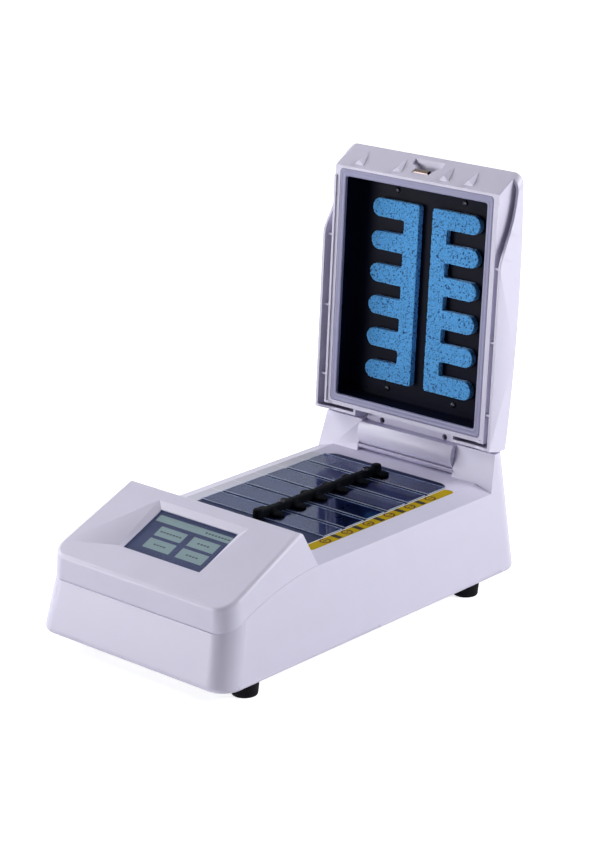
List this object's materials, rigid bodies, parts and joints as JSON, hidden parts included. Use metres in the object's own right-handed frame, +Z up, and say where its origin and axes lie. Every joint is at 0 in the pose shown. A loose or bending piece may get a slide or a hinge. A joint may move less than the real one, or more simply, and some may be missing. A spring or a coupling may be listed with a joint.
{
  "type": "microscope slide heater",
  "caption": "Bench heater for microscope slides: a drafted plastic casing with a sloped touch panel, a heated plate with slide rows, and a deep hinged lid that holds sponge combs.",
  "frame": {"origin": "on the bench, under the middle of the object's box as it stands with its lid open", "axes": "+Z up, +Y from the screen to the hinge, +X to the right of someone who faces the screen"},
  "size_m": [0.2398, 0.4324, 0.407],
  "materials": {
    "white_plastic": "fine satin moulding",
    "black_plastic": "satin",
    "black_rubber": "matt",
    "grey_rubber": "matt silicone",
    "heater_rubber": "matt silicone",
    "sheet_steel": "zinc plated sheet",
    "screw_steel": "plated",
    "brass": "turned",
    "black_aluminium": "black anodised",
    "circuit_board": "solder mask",
    "insulation_foam": "needled felt",
    "blue_sponge": "open-cell sponge",
    "screen_glass": "polished",
    "slide_glass": "polished",
    "yellow_label": "printed film",
    "grey_label": "printed film"
  },
  "bodies": {
    "base": {"body_shell": "white_plastic", "base_plate": "sheet_steel", "rubber_feet": "black_rubber", "foot_screws": "screw_steel", "case_screws": "screw_steel", "panel_cover": "white_plastic", "cover_screws": "screw_steel", "touch_glass": "screen_glass", "display_module": "black_plastic", "display_bracket": "sheet_steel", "display_screws": "screw_steel", "control_board": "circuit_board", "board_standoffs": "brass", "power_supply": "sheet_steel", "power_inlet": "black_plastic", "inlet_screws": "screw_steel", "power_switch": "black_plastic", "fuse_holder": "black_plastic", "fan_frame": "black_plastic", "fan_grille": "screw_steel", "fan_screws": "screw_steel", "heating_plate": "black_aluminium", "temperature_probe": "screw_steel", "plate_heater": "heater_rubber", "plate_insulation": "insulation_foam", "heater_backing": "sheet_steel", "backing_screws": "screw_steel", "plate_posts": "black_plastic", "thermal_cutout": "black_plastic", "slide_left_1": "slide_glass", "slide_left_2": "slide_glass", "slide_left_3": "slide_glass", "slide_left_4": "slide_glass", "slide_left_5": "slide_glass", "slide_left_6": "slide_glass", "slide_right_1": "slide_glass", "slide_right_2": "slide_glass", "slide_right_3": "slide_glass", "slide_right_4": "slide_glass", "slide_right_5": "slide_glass", "slide_right_6": "slide_glass", "slide_divider": "black_plastic", "divider_screws": "screw_steel", "index_strip_left": "grey_label", "index_strip_right": "yellow_label", "hinge_pins": "screw_steel", "latch_keeper": "screw_steel"},
    "lid": {"lid_shell": "white_plastic", "lid_gasket": "grey_rubber", "lid_tray": "black_plastic", "tray_screws": "screw_steel", "lid_insulation": "insulation_foam", "sponge_left": "blue_sponge", "sponge_right": "blue_sponge", "hinge_bushes": "brass", "leaf_screws": "screw_steel", "latch_spring": "screw_steel", "latch_screw": "screw_steel"},
    "rocker": {"switch_rocker": "black_plastic"},
    "rotor": {"fan_rotor": "black_plastic"}
  },
  "joints": [
    {"name": "lid_hinge", "type": "hinge", "parent": "base", "child": "lid", "pos_m": [0, 0.1864, 0.1237], "axis": [1, 0, 0], "range_deg": [0, 93.6]},
    {"name": "power_rocker", "type": "hinge", "parent": "base", "child": "rocker", "pos_m": [-0.024, 0.20511, 0.05185], "axis": [1, 0, 0], "range_deg": [0, 18]},
    {"name": "fan_spin", "type": "hinge", "parent": "base", "child": "rotor", "pos_m": [0.055, 0.2076, 0.052], "axis": [0, 0.9982, 0.0593], "continuous": true}
  ]
}
